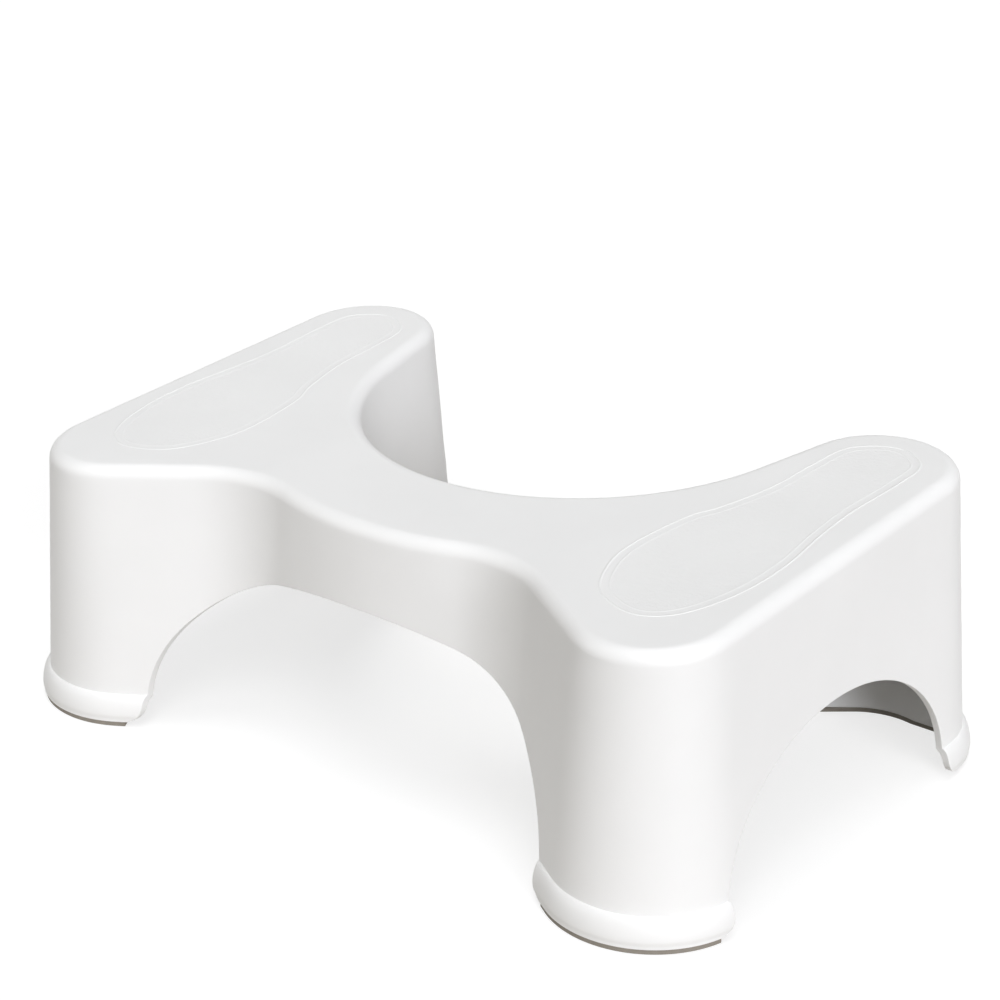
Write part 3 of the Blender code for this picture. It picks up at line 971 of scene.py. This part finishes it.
# %% [markdown]
# ### Moulded polypropylene, satin
#
# White polypropylene flows into a spark-eroded mould whose fine grain it copies, so it shines
# softly rather than like glass. Polypropylene's IOR is 1.49. The melt cools unevenly, which
# shows as a very faint drift in tone and gloss over a hand's breadth. The grain is about
# 0.1 mm on the real one; it is drawn at 0.7 mm so that it can show at all.

# %% Satin polypropylene
MM = 0.001
GRAIN = 0.7 * MM
GRAIN_RELIEF = 0.012 * MM
DRIFT = 90.0 * MM
POLYPROPYLENE_IOR = 1.49
SATIN_LOW, SATIN_HIGH = 0.42, 0.48
WHITE_LOW, WHITE_HIGH = "#F0F0EF", "#F3F3F2"

# The drift's values between which the tone and the gloss go from low to high
TONE_FROM, TONE_TO = 0.35, 0.65
GLOSS_FROM, GLOSS_TO = 0.3, 0.7


def satin_polypropylene(name, grain, relief):
    """The plastic with a grain of this size, which stands this high."""
    material, tree, shader = new_finish(name, SATIN_LOW, POLYPROPYLENE_IOR)
    place = add_node(tree, "ShaderNodeTexCoord").outputs["Object"]
    drift = add_node(tree, "ShaderNodeTexNoise", {"Vector": place, "Scale": 1 / DRIFT,
                                                  "Detail": 3.0, "Roughness": 0.5})
    tone = add_node(tree, "ShaderNodeValToRGB", {"Fac": drift.outputs["Fac"]})
    tone.color_ramp.elements[0].position = TONE_FROM
    tone.color_ramp.elements[0].color = linear(WHITE_LOW)
    tone.color_ramp.elements[1].position = TONE_TO
    tone.color_ramp.elements[1].color = linear(WHITE_HIGH)
    tree.links.new(tone.outputs["Color"], shader.inputs["Base Color"])
    gloss = add_node(tree, "ShaderNodeMapRange", {"Value": drift.outputs["Fac"],
                                                  "From Min": GLOSS_FROM, "From Max": GLOSS_TO,
                                                  "To Min": SATIN_LOW, "To Max": SATIN_HIGH})
    tree.links.new(gloss.outputs["Result"], shader.inputs["Roughness"])
    speck = add_node(tree, "ShaderNodeTexNoise", {"Vector": place, "Scale": 1 / grain,
                                                  "Detail": 2.0})
    bump = add_node(tree, "ShaderNodeBump", {"Height": speck.outputs["Fac"],
                                             "Strength": 1.0, "Distance": relief})
    tree.links.new(bump.outputs["Normal"], shader.inputs["Normal"])
    return material


shell_white = satin_polypropylene("satin_white_polypropylene", GRAIN, GRAIN_RELIEF)
print("finish", shell_white.name)

# %% [markdown]
# ### The same plastic, stippled for grip
#
# Inside the sole outlines the mould is textured deeper, so that bare feet grip. The plastic is
# the same; only the relief is coarser and higher, which shows as a faint mottling. The real
# stipple is about 1 mm across and is drawn at 2.4 mm so that it can show.

# %% Stippled polypropylene
STIPPLE = 2.4 * MM
STIPPLE_RELIEF = 0.26 * MM
sole_white = satin_polypropylene("stippled_white_polypropylene", STIPPLE, STIPPLE_RELIEF)


def dress(piece, *finishes):
    """Gives a piece its finishes, keeps which face wears which, and counts the special ones."""
    worn = [face.material_index for face in piece.data.polygons]
    piece.data.materials.clear()
    for finish in finishes:
        piece.data.materials.append(finish)
    piece.data.polygons.foreach_set("material_index", worn)
    return sum(1 for index in worn if index)


for piece in [ribs] + ledges:
    dress(piece, shell_white)
print(dress(shell, shell_white, sole_white), "faces of the shell are stippled")

# %% [markdown]
# ### Thermoplastic rubber, calendered
#
# The strips are die cut from a thin sheet of warm grey thermoplastic rubber with an IOR of
# 1.52. The rollers leave it matt with a faint cloudiness, in patches of about 6 mm.

# %% Warm grey rubber
CLOUD = 6 * MM
CLOUD_RELIEF = 0.2 * MM
CLOUD_STRENGTH = 0.3
RUBBER_ROUGHNESS = 0.8
RUBBER_IOR = 1.52
GREY_LOW, GREY_HIGH = "#857F75", "#9A948A"


def strip_rubber_finish():
    """The rubber, whose clouds change both its tone and its relief."""
    material, tree, shader = new_finish("warm_grey_thermoplastic_rubber", RUBBER_ROUGHNESS,
                                        RUBBER_IOR)
    place = add_node(tree, "ShaderNodeTexCoord").outputs["Object"]
    cloud = add_node(tree, "ShaderNodeTexNoise", {"Vector": place, "Scale": 1 / CLOUD,
                                                  "Detail": 4.0})
    tone = add_node(tree, "ShaderNodeValToRGB", {"Fac": cloud.outputs["Fac"]})
    tone.color_ramp.elements[0].color = linear(GREY_LOW)
    tone.color_ramp.elements[1].color = linear(GREY_HIGH)
    tree.links.new(tone.outputs["Color"], shader.inputs["Base Color"])
    bump = add_node(tree, "ShaderNodeBump", {"Height": cloud.outputs["Fac"],
                                             "Strength": CLOUD_STRENGTH,
                                             "Distance": CLOUD_RELIEF})
    tree.links.new(bump.outputs["Normal"], shader.inputs["Normal"])
    return material


rubber = strip_rubber_finish()
for strip in strips:
    strip.data.materials.append(rubber)
print("finish", rubber.name)

# %% [markdown]
# ## Floor, light and camera
#
# The floor is a plain pale sheet that catches the stool's shadow. What the camera sees of it
# is lifted to white, while the stool is lit by its plain paint alone. Wide soft lamps stand
# so far off that their light is even. The strongest comes in low from the right, a touch
# cooler than white as daylight is, and makes the walls there brightest. One hangs overhead,
# two more stand in front on the right, one a little further round the side, and a weak one on
# the left keeps that side of each hollow from going dark. The sky adds a trace.

# %% Rays that go to the eye, straight or by gloss or glass
def seen_directly(tree):
    """Socket that is 1 for those rays and 0 for the ones that only carry light."""
    path = add_node(tree, "ShaderNodeLightPath")
    seen = path.outputs["Is Camera Ray"]
    for ray in ("Is Glossy Ray", "Is Transmission Ray"):
        seen = add_node(tree, "ShaderNodeMath", {0: seen, 1: path.outputs[ray]},
                        operation="MAXIMUM").outputs[0]
    return seen


# %% Floor
FLOOR_PAINT = "#C2BDB5"
FLOOR_SHADE = "#A8A8A8"
FLOOR_GLOW = 0.72
FLOOR_REACH = 8.0

# Keeps the floor and the strips' undersides out of one plane
FLOOR_GAP = 0.0001


def pale_floor():
    """A wide square sheet."""
    shape = bmesh.new()
    bmesh.ops.create_grid(shape, x_segments=1, y_segments=1, size=FLOOR_REACH)
    mesh = bpy.data.meshes.new("pale_floor")
    shape.to_mesh(mesh)
    shape.free()
    floor = bpy.data.objects.new("pale_floor", mesh)
    floor.location.z = -FLOOR_GAP
    bpy.context.scene.collection.objects.link(floor)
    material = bpy.data.materials.new("matt_pale_paint")
    material.use_nodes = True
    tree = material.node_tree
    tree.nodes.clear()
    paint = add_node(tree, "ShaderNodeBsdfDiffuse", {"Color": linear(FLOOR_PAINT)})
    pale = add_node(tree, "ShaderNodeBsdfDiffuse", {"Color": linear(FLOOR_SHADE)})
    glow = add_node(tree, "ShaderNodeEmission", {"Strength": FLOOR_GLOW})
    white = add_node(tree, "ShaderNodeAddShader", {0: pale.outputs[0], 1: glow.outputs[0]})
    mixed = add_node(tree, "ShaderNodeMixShader", {0: seen_directly(tree),
                                                   1: paint.outputs[0], 2: white.outputs[0]})
    add_node(tree, "ShaderNodeOutputMaterial", {"Surface": mixed.outputs[0]})
    mesh.materials.append(material)


pale_floor()
print(f"floor reaches {FLOOR_REACH:.0f} m each way")


# %% Sky and lamps
def pale_sky(strength):
    """A white sky that lights the stool with this strength only."""
    world = bpy.data.worlds.new("pale_sky")
    bpy.context.scene.world = world
    world.use_nodes = True
    tree = world.node_tree
    tree.nodes.clear()
    fill = add_node(tree, "ShaderNodeBackground", {"Strength": strength})
    white = add_node(tree, "ShaderNodeBackground", {"Strength": 1.0})
    for background in (fill, white):
        background.inputs["Color"].default_value = linear("#FFFFFF")
    mixed = add_node(tree, "ShaderNodeMixShader", {0: seen_directly(tree), 1: fill.outputs[0],
                                                   2: white.outputs[0]})
    add_node(tree, "ShaderNodeOutputWorld", {"Surface": mixed.outputs[0]})


def far_lamp(name, turn, height, share, width, code):
    """Even light from a wide lamp; share 1 shows a white sheet that faces it as white."""
    lamp = bpy.data.lights.new(name, "SUN")
    lamp.energy = math.pi * share
    lamp.color = linear(code)[:3]
    lamp.angle = math.radians(width)
    turn, height = math.radians(turn), math.radians(height)
    place = Vector((math.sin(turn) * math.cos(height), -math.cos(turn) * math.cos(height),
                    math.sin(height)))
    stand = bpy.data.objects.new(name, lamp)
    stand.rotation_euler = (-place).to_track_quat("-Z", "Y").to_euler()
    bpy.context.scene.collection.objects.link(stand)
    return share * math.sin(height)


# Name, turn from the front towards the right, height above the horizon, share, width, colour
LAMPS = (
    ("key_high", 35.0, 50.0, 0.27, 30.0, "#FFFFFF"),
    ("key_front", 35.0, 20.0, 0.04, 30.0, "#FFFFFF"),
    ("key_right", 66.0, 17.0, 0.58, 30.0, "#F9FAFF"),
    ("side", 95.0, 15.0, 0.04, 30.0, "#F9FAFF"),
    ("fill_left", -45.0, 25.0, 0.13, 40.0, "#FFFFFF"),
    ("overhead", 0.0, 90.0, 0.38, 40.0, "#FFFFFF"),
)
SKY = 0.02
pale_sky(SKY)
deck_light = SKY + sum(far_lamp(*lamp) for lamp in LAMPS)
bpy.context.scene.view_settings.view_transform = "Standard"
print(f"a level white sheet is lit at {deck_light:.2f} of full white")

# %% Camera
CAMERA_PLACE = Vector((0.8559, -1.0193, 0.6927))
YAW = math.radians(39.79)
PITCH = math.radians(22.45)
ROLL = math.radians(-0.45)
FOCAL_PIXELS = 2397.45
FRAME_PIXELS = 1000
SENSOR_MM = 36.0
FAR_CLIP = 50.0


def set_camera():
    """Camera that looks down on the stool from the front right."""
    ahead = Vector((-math.sin(YAW) * math.cos(PITCH), math.cos(YAW) * math.cos(PITCH),
                    -math.sin(PITCH)))
    level = Vector((math.cos(YAW), math.sin(YAW), 0.0))
    up = level.cross(ahead)
    right = math.cos(ROLL) * level + math.sin(ROLL) * up
    top = math.cos(ROLL) * up - math.sin(ROLL) * level
    turn = Matrix((right, top, -ahead)).transposed()
    camera = bpy.data.objects.new("camera", bpy.data.cameras.new("camera"))
    camera.matrix_world = Matrix.LocRotScale(CAMERA_PLACE, turn.to_quaternion(), None)
    camera.data.sensor_width = SENSOR_MM
    camera.data.lens = SENSOR_MM * FOCAL_PIXELS / FRAME_PIXELS
    camera.data.clip_end = FAR_CLIP
    bpy.context.scene.collection.objects.link(camera)
    bpy.context.scene.camera = camera
    return camera


print("camera lens", round(set_camera().data.lens, 2), "mm")

# %% [markdown]
# ## Finish
#

# %% Bring the scene up to date
bpy.context.view_layer.update()
